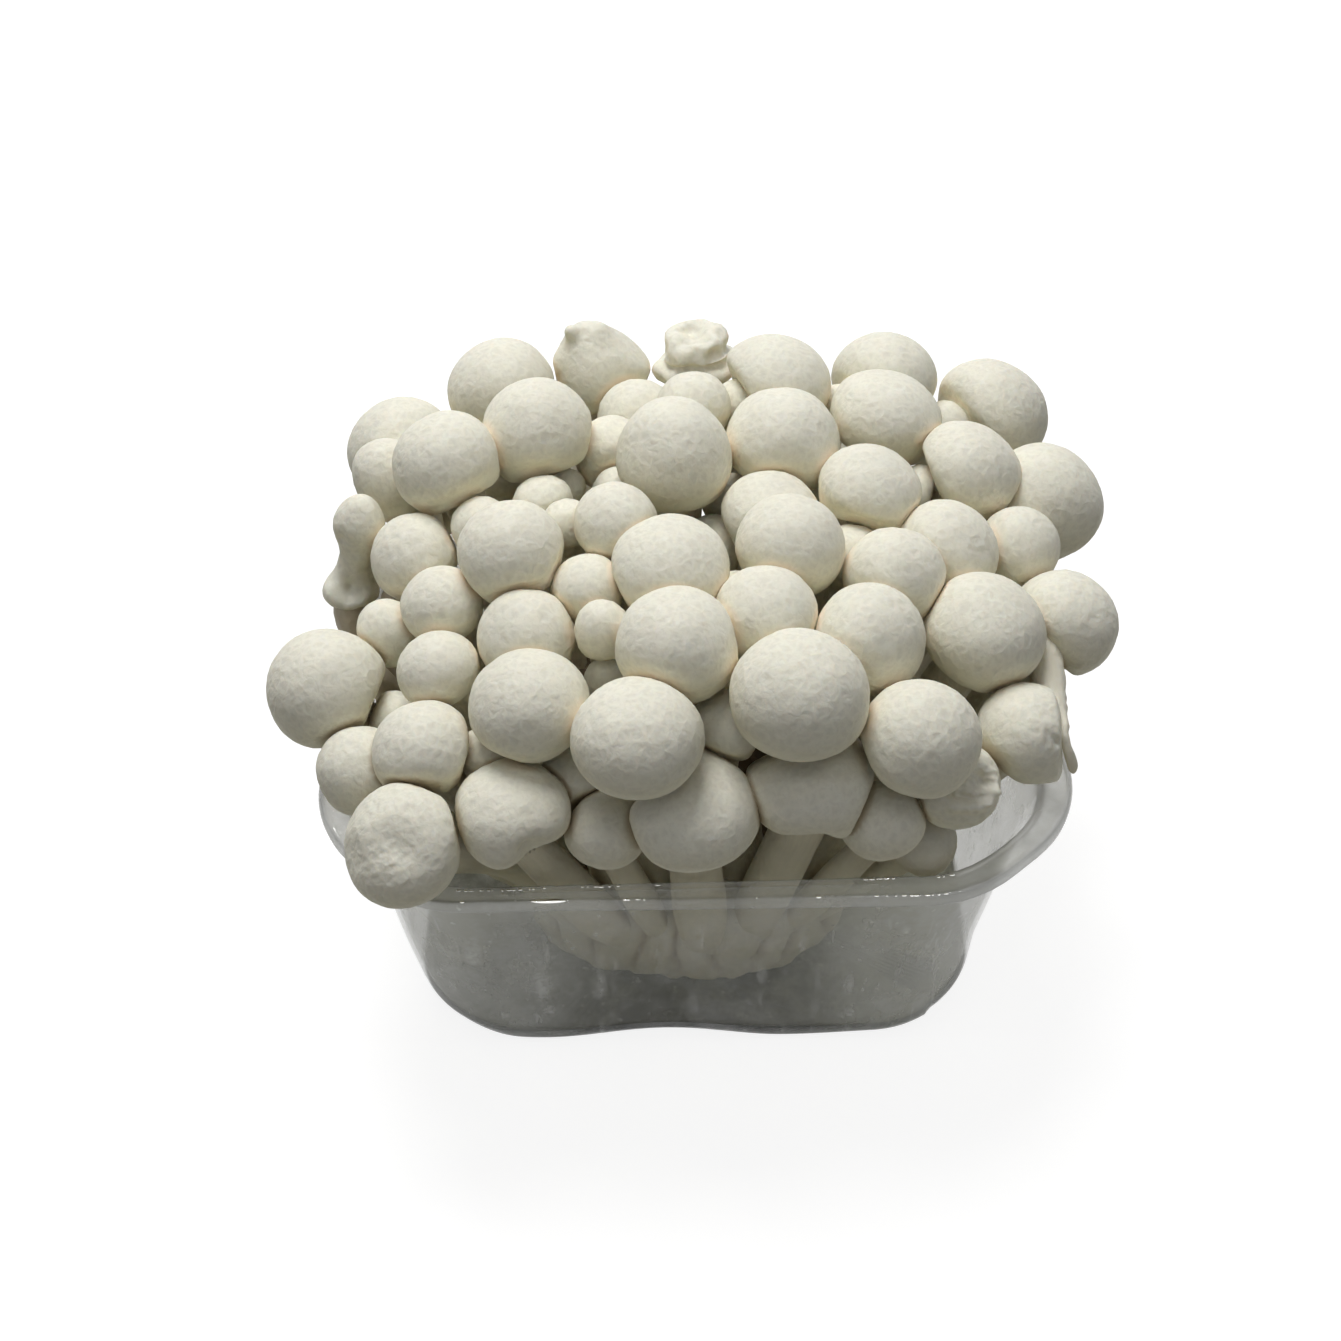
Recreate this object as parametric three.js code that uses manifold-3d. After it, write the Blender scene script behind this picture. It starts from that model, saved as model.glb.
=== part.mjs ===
// A bunch of white shimeji mushrooms grown from one block, standing in its clear tray.
// Millimetres, +Z up. The origin is the middle of the tray's underside.
// Every mushroom is one solid of cap and stem. The stems spread upwards and outwards from
// the block, and the caps press flat against each other where they meet.

import * as THREE from 'three';
import { mergeVertices } from 'three/addons/utils/BufferGeometryUtils.js';
import Module from 'manifold-3d';

// --- driving dimensions -------------------------------------------------------------------

const GAP = 0.3;                    // clear space kept between neighbouring pieces

const RIM_HALF = [70, 55];          // tray rim, half its length and half its width
const TRAY_HEIGHT = 56;
const TRAY_WALL = 0.9;
const UNDER_RIM = TRAY_HEIGHT - TRAY_WALL;
const RIM_CORNER = 30;              // corner radius at the outer edge of the rim
const FLANGE_WIDTH = 5;
const LIP_DROP = 3;                 // the rim's outer edge turns down by this much
const FLOOR_CORNER = 17;            // corner radius where the underside is flat
const FLOOR_CORE = [34, 20];        // straight half-lengths of the walls at the floor

const BLOCK_HALF = [32, 27];        // growing block, half its length and half its width
const BLOCK_TOP = 8;
const BLOCK_LUMPS = 1.4;            // how uneven the side of the block is

const CROWN_TOP = 98;               // height of the middle caps' widest line
const CROWN_SIDE_FALL = 16;         // how far the crown falls at 70 mm to either side
const CROWN_FRONT_FALL = 20;        // how far it falls 65 mm in front of y = 15
const CROWN_BACK_FALL = 8;          // how far it falls 35 mm behind y = 30

const STEM_SHARE = 0.4;             // stem radius as a share of the cap radius
const FOOT_SHARE = 0.27;            // the same at the foot, where the stems crowd together
const NECK_SHARE = 0.42;            // the same at the neck, where the stem meets the gills
const NECK_DEPTH = 0.45;            // how far the neck is below a cap's widest line, in cap radii
const FOOT_GATHER = [0.42, 0.4];    // how close to the middle the feet stand, sideways and in depth
const FOOT_SHIFT = 3;               // and how far forward
const WALL_CLEARANCE = 3;           // stems inside the tray stay this far from its walls
const STEM_LEVELS = [28, 44, 60];   // heights at which a stem has a ring between foot and neck
const SPREAD_PASSES = 300;          // how long the stems are left to find their room
const SPREAD_STEP = 6;              // height between the levels where they push each other
const STIFFNESS = 0.08;             // how strongly a stem straightens in one pass
const EAGERNESS = 0.5;              // how much of an overlap two stems give way in one pass
const STEM_ROOM = 1.12;             // room a stem claims, as a share of its own radius
const STEM_GAP = 1.8 * GAP;         // clear space the stems look for between them
const HELD_SHARE = 0.6;             // above this share of its last stretch the cap holds a stem
const SIDE_LEAN = 0.55;             // degrees of cap lean per mm from the middle, sideways
const BACK_LEAN = 0.35;             // the same towards the back
const DOME = 0.92;                  // height of a cap above its widest line, in cap radii
const MARGIN_DEPTH = 0.56;          // how far the rolled-in margin hangs below that line
const SMALL_CAP = 8.5;              // caps of a smaller radius have eight sides, the others ten
const CAP_STATION = 10;             // height that marks a lathe ring as part of the cap

const CREAM = 0xe9e6dc;
const BLOCK_WHITE = 0xd9d3c2;
const CLEAR_PLASTIC = 0xc3c8c4;

// --- where the mushrooms stand --------------------------------------------------------------

// One line is one mushroom: x, y, lift above the crown, cap width, and then options.
// Rows run from the back of the bunch to the front, and from left to right.
const ROWS = {
  back: [
    [-57.5, 43, -2, 21.5],
    [-38, 53, 1, 21.5],
    [-18, 59, -2, 20, { form: 'hooded', lean: [-24, 10] }],
    [2.5, 61, 1, 16, { form: 'collared', lean: [-6, 8] }],
    [18, 47, 0, 22, { dome: 0.85 }],
    [40, 56, 0, 22, { dome: 0.95 }],
    [63, 56, 1, 22.5, { dome: 0.85 }],
  ],
  rear: [
    [-58, 28, 0, 14.5, { tall: 1.35 }],
    [-29, 29, 2, 21.5, { dome: 0.98 }],
    [-15, 31, -7, 14.5, { tall: 1.15 }],
    [1, 38, -1, 14.5],
    [39, 38, 1, 22.5, { dome: 0.72 }],
    [18, 27, -1, 22],
    [54, 26, 1, 21.5, { dome: 0.78 }],
    [69.5, 27, -1.5, 20.5, { tall: 1.15, lean: [26, 8] }],
  ],
  upper: [
    [-46, 20, 6, 21],
    [-3, 20, -1, 22, { dome: 1.12 }],
    [15, 10, -6, 19, { dome: 0.85 }],
    [34, 14, 0, 20, { dome: 0.76 }],
    [62, 9, -2, 16, { dome: 1 }],
  ],
  middle: [
    [-66.5, 13, -11, 9.5, { form: 'gnarled', lean: [10, 4] }],
    [-52, 6, -3, 17],
    [-56, -8, -6, 12, { tall: 1.25 }],
    [-46, -9, -2, 15.5],
    [-33, -5, 3, 20],
    [-14, 1, 1, 15.5],
    [18, -5, 1, 20],
    [37, -8, 0, 19],
    [48, 4, -2, 20, { dome: 0.8 }],
    [68.2, -7, -3, 20, { tall: 1.1, lean: [18, 0] }],
  ],
  lower: [
    [-66.5, -19, -4, 22, { dome: 1, lean: [-18, 0] }],
    [-46, -23, -1, 15],
    [-30, -19, -2, 18],
    [-19, -11, -2, 13.5],
    [-4, -11, 2, 21.5, { dome: 0.78 }],
    [13, -21, 2, 19],
    [31, -24, 2, 20.5, { dome: 1 }],
    [53, -16, 0, 23.5, { dome: 0.85 }],
  ],
  front: [
    [-60, -34, -6, 16.5, { tall: 1.1 }],
    [-48, -38, 0, 19],
    [-29, -36, 3, 21.5],
    [-21, -38, -12, 17, { dome: 0.78 }],
    [-3, -30, 6, 22],
    [6, -36, -5, 14],
    [18, -41, 10, 24.5],
    [39, -43, 6, 21.5, { dome: 0.98 }],
    [59.8, -32, -2, 19, { form: 'tipped', stem: 0.34 }],
  ],
  edge: [
    [-51, -53, 2, 24, { form: 'dented', lean: [-38, -24], dome: 0.75, stem: 0.28, inset: 11 }],
    [-32, -48, -4, 21.5, { lean: [8, -6], notch: [-50, 0.32, 0.6], dome: 0.75 }],
    [-16, -47, -12, 15.5, { lean: [6, -8], dome: 0.85 }],
    [-10, -47, 9, 23, { dome: 0.85, stem: 0.34 }],
    [-1, -48, -7, 25, { lean: [0, -4], tall: 0.78 }],
    [20, -44, -6, 24, { lean: [-4, -6], notch: [-90, 0.3, 0.42], dome: 0.72 }],
    [33, -46, -10, 15.5, { lean: [-10, -6] }],
    [46, -42, -5, 16.5, { form: 'torn', dome: 1, stem: 0.34, lean: [10, -8] }],
  ],
  low_back: [
    [-47, 46, -20, 17, { inset: 7 }],
    [-6, 53, -22, 18, { inset: 7 }],
    [28, 51, -23, 17, { inset: 7 }],
  ],
};

// Small mushrooms deep in the bunch: they have grown into one piece with the block.
const JOINED = [
  [-39, 8, -2, 14],
  [-28, 15, -4, 13.5, { dome: 0.75 }],
  [-23, 6, -3, 11.5],
  [-16, -22, 0, 12, { tall: 1.25 }],
  [-15, -24, -9, 11, { tall: 1.25 }],
  [41, -41, -22, 15, { stem: 0.34 }],
  [30, 3, -8, 15],
  [8, -7, -10, 12],
  [4, 11, -15, 15],
  [62, -14, -8, 13.5],
  [-37, -36, -8, 14],
  [-55, -21, -13, 13],
  [-13, 22, -10, 14],
  [8, 24, -14, 13],
  [-10, 46, -8, 18],
  [-37, 33, -9, 13],
  [-25, 25, -9, 11],
  [52, 50, -5, 13],
  [45, 25, -7, 13],
  [-57, 18, -9, 11],
  [10, 44, -4, 12],
  [30, 48, -5, 12],
];

// --- small helpers ----------------------------------------------------------------------------

const radians = THREE.MathUtils.degToRad;
const mix = THREE.MathUtils.lerp;

// The tray's outline at a height: straight half-lengths, and the corner radius of the outer wall.
function trayPlan(z) {
  const rise = z / TRAY_HEIGHT;
  const core = [0, 1].map((k) => mix(FLOOR_CORE[k], RIM_HALF[k] - RIM_CORNER, rise));
  return { core, corner: mix(FLOOR_CORNER + 4, 25, rise) };
}

function crownHeight(x, y) {
  const side = CROWN_SIDE_FALL * (x / 70) ** 2;
  const front = CROWN_FRONT_FALL * (Math.max(0, 15 - y) / 65) ** 2;
  const back = CROWN_BACK_FALL * (Math.max(0, y - 30) / 35) ** 2;
  return CROWN_TOP - side - front - back;
}

// --- mushrooms ----------------------------------------------------------------------------------

function planMushroom(name, [x, y, lift, width, options = {}]) {
  const radius = width / 2;
  const lean = options.lean ?? [x * SIDE_LEAN, Math.max(0, y) * BACK_LEAN];
  const axis = new THREE.Vector3(Math.tan(radians(lean[0])), Math.tan(radians(lean[1])), 1).normalize();
  const centre = new THREE.Vector3(x, y, crownHeight(x, y) + lift);
  const neck = centre.clone().addScaledVector(axis, -NECK_DEPTH * radius);
  const foot = new THREE.Vector3(x * FOOT_GATHER[0], (y - FOOT_SHIFT) * FOOT_GATHER[1], BLOCK_TOP + GAP);
  const levels = STEM_LEVELS.filter((z) => z < neck.z - 8);
  const nodes = [foot, ...levels.map((z) => {
    const rise = (z - foot.z) / (neck.z - foot.z);
    return new THREE.Vector3(mix(foot.x, neck.x, rise), mix(foot.y, neck.y, rise), z);
  }), neck];
  const tall = options.tall ?? 1;
  const shape = { form: 'button', dome: DOME * tall, margin: MARGIN_DEPTH * tall, stem: STEM_SHARE };
  return { name, radius, axis, centre, nodes, ...shape, feet: 1, inset: WALL_CLEARANCE, ...options };
}

const stemRadius = (m, level) => m.radius * (level < m.feet ? FOOT_SHARE : m.stem);

// The stems crowd each other, so they are pushed apart until each has its room all the way up,
// while each one stays as straight as it can. A cap that hangs beside a stem takes room too.
function spreadStems(mushrooms) {
  for (let pass = 0; pass < SPREAD_PASSES; pass++) {
    for (const m of mushrooms) {
      straighten(m.nodes);
    }
    for (let z = BLOCK_TOP + GAP; z < CROWN_TOP - 10; z += SPREAD_STEP) {
      spreadLevel(mushrooms, z);
    }
    for (const m of mushrooms) {
      keepOnBlock(m.nodes[0]);
      m.nodes.slice(1, -1).forEach((node) => keepInTray(node, m.radius * m.stem + m.inset));
    }
  }
}

function straighten(nodes) {
  for (let k = 1; k < nodes.length - 1; k++) {
    const [below, node, above] = [nodes[k - 1], nodes[k], nodes[k + 1]];
    const share = (node.z - below.z) / (above.z - below.z);
    node.x += STIFFNESS * (mix(below.x, above.x, share) - node.x);
    node.y += STIFFNESS * (mix(below.y, above.y, share) - node.y);
  }
}

// The disc that a stem takes up at a height, and how its nearest two nodes carry it there.
// The neck, the last node, is held by the cap and doesn't move.
function stemDisc(m, z) {
  const k = m.nodes.findIndex((node) => node.z > z) - 1;
  if (k < 0) return null;
  const [below, above] = [m.nodes[k], m.nodes[k + 1]];
  const share = (z - below.z) / (above.z - below.z);
  const loose = k + 1 < m.nodes.length - 1;
  if (!loose && share > HELD_SHARE) return null;
  const radius = STEM_ROOM * mix(stemRadius(m, k), stemRadius(m, k + 1), share);
  const held = (1 - share) ** 2 + (loose ? share ** 2 : 0);
  const move = (dx, dy) => {
    below.x += dx * (1 - share) / held;
    below.y += dy * (1 - share) / held;
    if (loose) {
      above.x += dx * share / held;
      above.y += dy * share / held;
    }
  };
  return { owner: m, x: mix(below.x, above.x, share), y: mix(below.y, above.y, share), radius, move };
}

function capDisc(m, z) {
  const offset = (z - m.centre.z) / m.radius;
  if (Math.abs(offset) > 0.9) return null;
  return { owner: m, x: m.centre.x, y: m.centre.y, radius: m.radius * Math.sqrt(1 - offset * offset) };
}

function spreadLevel(mushrooms, z) {
  const stems = mushrooms.map((m) => stemDisc(m, z)).filter(Boolean);
  const caps = mushrooms.map((m) => capDisc(m, z)).filter(Boolean);
  stems.forEach((a, i) => {
    for (const b of [...stems.slice(i + 1), ...caps]) {
      const [dx, dy] = [b.x - a.x, b.y - a.y];
      const distance = Math.hypot(dx, dy) || 0.01;
      const lack = a.radius + b.radius + STEM_GAP - distance;
      if (a.owner === b.owner || lack <= 0) continue;
      const push = EAGERNESS * lack / distance / (b.move ? 2 : 1);
      a.move(-dx * push, -dy * push);
      b.move?.(dx * push, dy * push);
    }
  });
}

function keepOnBlock(foot) {
  const reach = Math.hypot(foot.x / (BLOCK_HALF[0] - 2.5), foot.y / (BLOCK_HALF[1] - 2.5));
  if (reach > 1) {
    foot.x /= reach;
    foot.y /= reach;
  }
}

function keepInTray(node, inset) {
  const { core, corner } = trayPlan(node.z);
  const beyond = [Math.max(0, Math.abs(node.x) - core[0]), Math.max(0, Math.abs(node.y) - core[1])];
  const room = corner - TRAY_WALL - inset;
  const reach = Math.hypot(...beyond) / room;
  if (reach > 1 && beyond[0] > 0) node.x = Math.sign(node.x) * (core[0] + beyond[0] / reach);
  if (reach > 1 && beyond[1] > 0) node.y = Math.sign(node.y) * (core[1] + beyond[1] / reach);
}

// Radius and height of each ring of the cap, in cap radii, from the stem up to the crown.
function capOutline(m) {
  if (m.form === 'gnarled') {
    return [[1, -0.2], [1.05, 0.2], [0.78, 0.9], [0.72, 2], [0.98, 2.8], [0.95, 3.6], [0.5, 4.3], [0, 4.5]];
  }
  if (m.form === 'collared') {
    return [[0.5, -0.3], [0.98, -0.42], [1.05, -0.12], [0.74, 0.12], [0.84, 0.5], [0.5, 0.74], [0, 0.5]];
  }
  if (m.form === 'hooded') {
    return [[0.7, -0.5], [0.96, -0.4], [1, -0.08], [0.84, 0.42], [0.56, 0.85], [0.4, 1.02], [0.2, 1.16], [0, 1.2]];
  }
  return [
    [0.7, -m.margin],
    [0.93, -0.6 * m.margin],
    [1, 0],
    ...[30, 58].map((turn) => [Math.cos(radians(turn)), m.dome * Math.sin(radians(turn))]),
    [0, m.dome],
  ];
}

// A lathe turned round a straight axis, then bent so that its stem follows the stem's own line.
function mushroomGeometry(m) {
  const segments = m.radius < SMALL_CAP ? 8 : 10;
  const last = m.nodes.length - 1;
  const stem = m.nodes.map((node, k) => {
    return new THREE.Vector2(k === last ? m.radius * NECK_SHARE : stemRadius(m, k), k);
  });
  const cap = capOutline(m).map(([r, h]) => new THREE.Vector2(r * m.radius, last + CAP_STATION + h));
  const profile = [new THREE.Vector2(0, 0), ...stem, ...cap];
  const geometry = closedShape(new THREE.LatheGeometry(profile, segments));
  const frames = m.nodes.map((node, k) => ringFrame(m, k));
  const position = geometry.getAttribute('position');
  const point = new THREE.Vector3();
  for (let i = 0; i < position.count; i++) {
    const [across, station, along] = [position.getX(i), position.getY(i), position.getZ(i)];
    if (station > last + 1) {
      const height = (station - last - CAP_STATION) * m.radius;
      point.copy(m.centre).addScaledVector(m.axis, height);
    } else {
      point.copy(m.nodes[station]);
    }
    const frame = frames[Math.min(station, last) | 0];
    point.addScaledVector(frame.side, across).addScaledVector(frame.front, -along);
    position.setXYZ(i, point.x, point.y, point.z);
  }
  shapeCap(m, position);
  return geometry;
}

function ringFrame(m, k) {
  const last = m.nodes.length - 1;
  const up = new THREE.Vector3(0, 0, 1);
  if (k === last) {
    up.copy(m.axis);
  } else if (k > 0) {
    up.subVectors(m.nodes[k + 1], m.nodes[k - 1]).normalize();
  }
  const side = new THREE.Vector3(0, 1, 0).cross(up).normalize();
  return { side, front: new THREE.Vector3().crossVectors(up, side) };
}

// Dents, notches and torn places that single caps have, as a direction from the cap's middle.
const MARKS = {
  dented: [
    { at: [0.1, -0.75, 0.65], depth: 0.2, spread: 0.5 },
    { at: [-0.8, -0.5, 0.2], depth: 0.12, spread: 0.4 },
  ],
  torn: [
    { at: [0.1, -0.6, 0.8], depth: 0.24, spread: 0.45 },
    { at: [0.3, -0.95, -0.2], depth: 0.2, spread: 0.4 },
  ],
  tipped: [
    { at: [0.9, -0.4, 0.1], depth: 0.15, spread: 0.4 },
    { at: [1, -0.35, -0.55], depth: -0.34, spread: 0.36 },
  ],
};

function shapeCap(m, position) {
  const marks = [...(MARKS[m.form] ?? [])];
  if (m.notch) {
    const [turn, depth, spread] = m.notch;
    marks.push({ at: [0.8 * Math.cos(radians(turn)), 0.8 * Math.sin(radians(turn)), -0.6], depth, spread });
  }
  const point = new THREE.Vector3();
  for (const { at, depth, spread } of marks) {
    const target = new THREE.Vector3(...at).normalize();
    for (let i = 0; i < position.count; i++) {
      point.fromBufferAttribute(position, i).sub(m.centre);
      if (point.length() < 0.8 * m.radius || point.length() > 1.6 * m.radius) continue;
      const away = point.clone().normalize().distanceTo(target) / spread;
      point.multiplyScalar(1 - depth * Math.exp(-away * away)).add(m.centre);
      position.setXYZ(i, point.x, point.y, point.z);
    }
  }
}

// Distance from a cap's middle to its skin in one direction.
function capReach(m, direction) {
  const rise = m.axis.dot(direction);
  const height = rise > 0 ? m.dome : m.margin + 0.1;
  return m.radius / Math.sqrt(1 - rise * rise + (rise / height) ** 2);
}

// Where caps press on a neighbour's cap or stem, the skin lies flat along a shared plane.
// The gnarled one stands free and keeps its own skin.
function flattenContacts(solids) {
  for (const a of solids) {
    for (const b of solids) {
      if (a === b || a.plan.form === 'gnarled') continue;
      flattenAgainstStem(a, b.plan);
      if (a.plan.centre.distanceTo(b.plan.centre) < a.plan.radius + b.plan.radius + 4) {
        flattenAgainstCap(a, b.plan);
      }
    }
  }
}

function flattenAgainstCap({ plan, geometry }, other) {
  const towards = new THREE.Vector3().subVectors(other.centre, plan.centre);
  const distance = towards.length();
  towards.divideScalar(distance);
  const own = capReach(plan, towards);
  const theirs = capReach(other, towards.clone().negate());
  clampBehind(plan, geometry, towards, own + (distance - own - theirs) / 2 - 0.6 * GAP);
}

function flattenAgainstStem({ plan, geometry }, other) {
  const line = new THREE.Line3();
  const nearest = new THREE.Vector3();
  for (let k = 0; k < other.nodes.length - 1; k++) {
    line.set(other.nodes[k], other.nodes[k + 1]).closestPointToPoint(plan.centre, true, nearest);
    const towards = nearest.clone().sub(plan.centre);
    const distance = towards.length();
    const room = distance - stemRadius(other, 1) * 1.03 - GAP;
    if (room < plan.radius) {
      clampBehind(plan, geometry, towards.divideScalar(distance), room);
    }
  }
}

function clampBehind(plan, geometry, direction, limit) {
  const position = geometry.getAttribute('position');
  const point = new THREE.Vector3();
  for (let i = 0; i < position.count; i++) {
    point.fromBufferAttribute(position, i).sub(plan.centre);
    if (point.dot(plan.axis) < -0.7 * plan.radius) continue;
    const over = point.dot(direction) - limit;
    if (over > 0) {
      point.addScaledVector(direction, -over).add(plan.centre);
      position.setXYZ(i, point.x, point.y, point.z);
    }
  }
}

// --- tray -----------------------------------------------------------------------------------------

// A lathe turned from the tray's section, with its quarters then moved apart to straight walls.
function trayGeometry() {
  const floor = FLOOR_CORNER;
  const rim = RIM_CORNER;
  const outer = [[0, 0], [floor, 0], [floor + 3, 2.5], [floor + 4, 6], [24, 50], [25, UNDER_RIM]];
  const flange = [
    [rim - TRAY_WALL, UNDER_RIM],
    [rim - TRAY_WALL, TRAY_HEIGHT - LIP_DROP],
    [rim, TRAY_HEIGHT - LIP_DROP],
    [rim, TRAY_HEIGHT],
    [rim - FLANGE_WIDTH - TRAY_WALL / 2, TRAY_HEIGHT],
  ];
  const inner = [[24 - TRAY_WALL, 50], [floor + 4 - TRAY_WALL, 6.4], [floor + 2.2, 3.3], [floor, 1], [0, 1]];
  const profile = [...outer, ...flange, ...inner].map(([r, z]) => new THREE.Vector2(r, z));
  const perQuarter = 6;
  const start = Math.PI / 4 / perQuarter;
  const lathe = new THREE.LatheGeometry(profile, 4 * perQuarter, start, 2 * Math.PI).rotateX(Math.PI / 2);
  const position = lathe.getAttribute('position');
  for (let i = 0; i < position.count; i++) {
    const [x, y, z] = [position.getX(i), position.getY(i), position.getZ(i)];
    if (Math.hypot(x, y) < 0.01) continue;
    const { core } = trayPlan(z);
    position.setXYZ(i, x + Math.sign(x) * core[0], y + Math.sign(y) * core[1], z);
  }
  return closedShape(lathe);
}

// --- block ----------------------------------------------------------------------------------------

function blockGeometry() {
  const foot = 1 + GAP;
  const profile = [[0, foot], [0.84, foot], [0.97, 4], [1, 8], [0.95, BLOCK_TOP], [0, BLOCK_TOP]]
    .map(([r, z]) => new THREE.Vector2(r, z));
  const lathe = new THREE.LatheGeometry(profile, 24).rotateX(Math.PI / 2);
  const position = lathe.getAttribute('position');
  for (let i = 0; i < position.count; i++) {
    const [x, y, z] = [position.getX(i), position.getY(i), position.getZ(i)];
    const turn = Math.atan2(y, x);
    const lumps = BLOCK_LUMPS * (Math.sin(5 * turn + z / 3) + Math.sin(9 * turn + 1)) / 2;
    const [halfX, halfY] = BLOCK_HALF.map((half) => half + lumps);
    position.setXYZ(i, x * halfX, y * halfY, z);
  }
  return closedShape(lathe);
}

// --- closed meshes and joins ------------------------------------------------------------------------

function closedShape(geometry) {
  geometry.deleteAttribute('normal');
  geometry.deleteAttribute('uv');
  const merged = mergeVertices(geometry, 1e-4);
  const source = merged.getIndex();
  const kept = [];
  for (let i = 0; i < source.count; i += 3) {
    const [a, b, c] = [source.getX(i), source.getX(i + 1), source.getX(i + 2)];
    if (a !== b && b !== c && c !== a) kept.push(a, b, c);
  }
  merged.setIndex(kept);
  return merged;
}

async function joinSolids(geometries) {
  const wasm = await Module();
  wasm.setup();
  const solids = geometries.map((geometry) => new wasm.Manifold(new wasm.Mesh({
    numProp: 3,
    vertProperties: new Float32Array(geometry.getAttribute('position').array),
    triVerts: new Uint32Array(geometry.getIndex().array),
  })));
  const joined = solids.reduce((whole, solid) => whole.add(solid)).getMesh();
  const result = new THREE.BufferGeometry();
  result.setAttribute('position', new THREE.BufferAttribute(joined.vertProperties, joined.numProp));
  result.setIndex(new THREE.BufferAttribute(joined.triVerts, 1));
  return result;
}

function namedMesh(name, geometry, color, roughness) {
  const mesh = new THREE.Mesh(geometry, new THREE.MeshStandardMaterial({ color, roughness, metalness: 0 }));
  mesh.name = name;
  return mesh;
}

// --- the bunch ----------------------------------------------------------------------------------------

const plans = Object.entries(ROWS).flatMap(([row, places]) => (
  places.map((place, k) => planMushroom(`${row}_mushroom_${k + 1}`, place))
));
const joinedPlans = JOINED.map((place, k) => planMushroom(`joined_${k + 1}`, place));
spreadStems([...plans, ...joinedPlans]);
for (const plan of joinedPlans) {
  plan.nodes.unshift(plan.nodes[0].clone().setZ(BLOCK_TOP - 3));
  plan.feet = 2;
}

const solids = [...plans, ...joinedPlans].map((plan) => ({ plan, geometry: mushroomGeometry(plan) }));
flattenContacts(solids);

const bunch = new THREE.Group();
bunch.add(namedMesh('clear_tray', trayGeometry(), CLEAR_PLASTIC, 0.12));
const joinedShapes = solids.slice(plans.length).map((solid) => solid.geometry);
const block = await joinSolids([blockGeometry(), ...joinedShapes]);
bunch.add(namedMesh('growing_block', block, BLOCK_WHITE, 0.9));
for (const { plan, geometry } of solids.slice(0, plans.length)) {
  bunch.add(namedMesh(plan.name, geometry, CREAM, 0.65));
}

export default bunch;
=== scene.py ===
import math
import random

import bmesh
import bpy
from mathutils import Matrix, Vector, geometry, noise
from mathutils.bvhtree import BVHTree


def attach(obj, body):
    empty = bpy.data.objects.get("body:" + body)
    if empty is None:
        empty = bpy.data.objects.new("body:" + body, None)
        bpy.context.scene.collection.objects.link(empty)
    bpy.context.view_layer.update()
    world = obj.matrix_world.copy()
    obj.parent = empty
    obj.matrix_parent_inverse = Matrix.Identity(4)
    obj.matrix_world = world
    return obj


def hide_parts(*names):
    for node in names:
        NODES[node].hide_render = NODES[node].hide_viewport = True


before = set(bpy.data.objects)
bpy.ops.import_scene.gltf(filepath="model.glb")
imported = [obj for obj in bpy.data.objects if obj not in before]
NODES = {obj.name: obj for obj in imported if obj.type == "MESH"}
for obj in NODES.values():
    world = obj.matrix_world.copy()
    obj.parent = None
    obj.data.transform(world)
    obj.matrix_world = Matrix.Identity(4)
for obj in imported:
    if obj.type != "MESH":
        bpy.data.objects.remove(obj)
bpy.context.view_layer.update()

# White shimeji mushroom bunch in its clear tray. Metres, +Z up, in the frame of the solids.
# Each mushroom is rounded from its own solid: the surface runs through the solid's corners,
# then gets its marks, lumps, dimples, strands and gills. The tray is spun from a finer section.

MM = 0.001
MUSHROOMS = sorted(name for name in NODES if "_mushroom_" in name)
SEED = 5
noise.seed_set(SEED)                # the same wandering of the tray and the bare stems on every run

# --- sizes of the mushrooms, in millimetres --------------------------------------------------------

CAP_RINGS = {"back_mushroom_3": 8, "back_mushroom_4": 7, "middle_mushroom_1": 8}
PLAIN_CAP_RINGS = 6                 # rings from the crown to the inner edge of the margin
MERGE_WITHIN = 0.02                 # corners closer than this are one corner
ROUNDING_LEVELS = 3
CREASED_LEVELS = 4                  # for the caps whose creases are the finest
CREASED_FINELY = ("edge_mushroom_1", "edge_mushroom_8")
CORNER_PASSES = 4                   # times the cage is corrected to run through its corners

LUMP_SIZE, LUMP_DEPTH = 9.0, 0.25   # slow unevenness of a cap
STEM_LUMP_SHARE = 0.6
DIMPLE_SIZE, DIMPLE_DEPTH = 2.7, 0.2
STRAND_SIZE, STRAND_DEPTH = 1.6, 0.12
STRAND_SQUEEZE = 0.07               # strands are this much finer across the stem than along it
BARE_STEM_RELIEF = 0.3
FELT_SIZE, FELT_DEPTH = 2.2, 0.15   # relief of the mycelium on the block
FELT_INSET = 0.1
RELIEF_STEP = 0.37                  # how far apart two caps read the same noise
# painted highlight along the margin of each cap, where its edge turns under
MARGIN_HIGHLIGHT = 0.6
CREASE_SHOULDER = 0.35              # how much of a crease stands up beside its valley

GILL_SPACING = 1.15                 # distance between gills at the margin
GILL_DROP = 0.75
GILL_RISE = 0.5                     # how far a gill reaches up into the cap
GILL_THICKNESS = 0.22
GILL_STEPS = 3
SHORT_GILL_START = 0.35             # every second gill starts this far out

GAP_DEPTH = 4.0                     # flesh this close to a neighbour gets painted shade
GAP_FALLOFF = 1.5
GAP_START = 0.15                    # a neighbour is looked for from this far outside the skin
SIDE_STEM_SHADE = 0.7                 # painted shade on the side stems, which stand in the shade of the caps
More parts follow.
